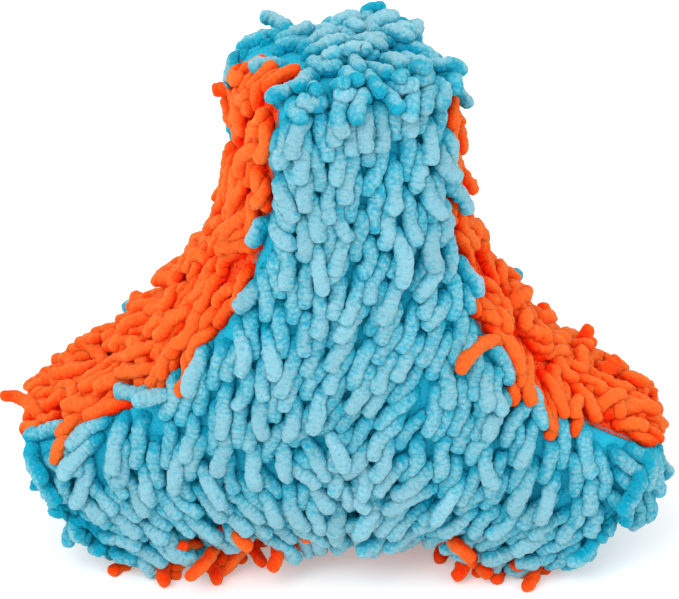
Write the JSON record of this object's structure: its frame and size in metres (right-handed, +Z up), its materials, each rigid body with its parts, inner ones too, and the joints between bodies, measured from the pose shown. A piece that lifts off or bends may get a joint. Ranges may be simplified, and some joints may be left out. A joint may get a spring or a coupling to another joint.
{
  "type": "plush fetch toy",
  "caption": "Soft indoor fetch toy for dogs: a stuffed chenille plush with round limbs on one hub, standing on its lower limbs.",
  "frame": {"origin": "middle of the toy's box, on the ground that its two lower limbs stand on", "axes": "+X to the right as seen from the front, across both lower limbs; +Y from the front panel to the back panel; +Z up, along the top limb"},
  "size_m": [0.1882, 0.0772, 0.1649],
  "materials": {
    "blue_chenille": "sky blue polyester chenille, thick blunt noodles, matte with a soft sheen",
    "orange_chenille": "vivid orange polyester chenille, matted noodles, matte with a soft sheen",
    "fibre_fill": "white polyester fibre fill",
    "seam_thread": "teal twisted polyester sewing thread"
  },
  "bodies": {
    "root": {"front_panel": "blue_chenille", "back_panel": "blue_chenille", "gusset_top_right": "orange_chenille", "gusset_top_left": "orange_chenille", "gusset_base": "orange_chenille", "end_cap_right": "blue_chenille", "end_cap_top": "blue_chenille", "end_cap_left": "blue_chenille", "stuffing_hub": "fibre_fill", "stuffing_right_limb": "fibre_fill", "stuffing_top_limb": "fibre_fill", "stuffing_left_limb": "fibre_fill", "thread_front_seam": "seam_thread", "thread_back_seam": "seam_thread", "thread_cap_right_to_top_right": "seam_thread", "thread_cap_right_to_base": "seam_thread", "thread_cap_top_to_top_left": "seam_thread", "thread_cap_top_to_top_right": "seam_thread", "thread_cap_left_to_base": "seam_thread", "thread_cap_left_to_top_left": "seam_thread"}
  },
  "joints": []
}
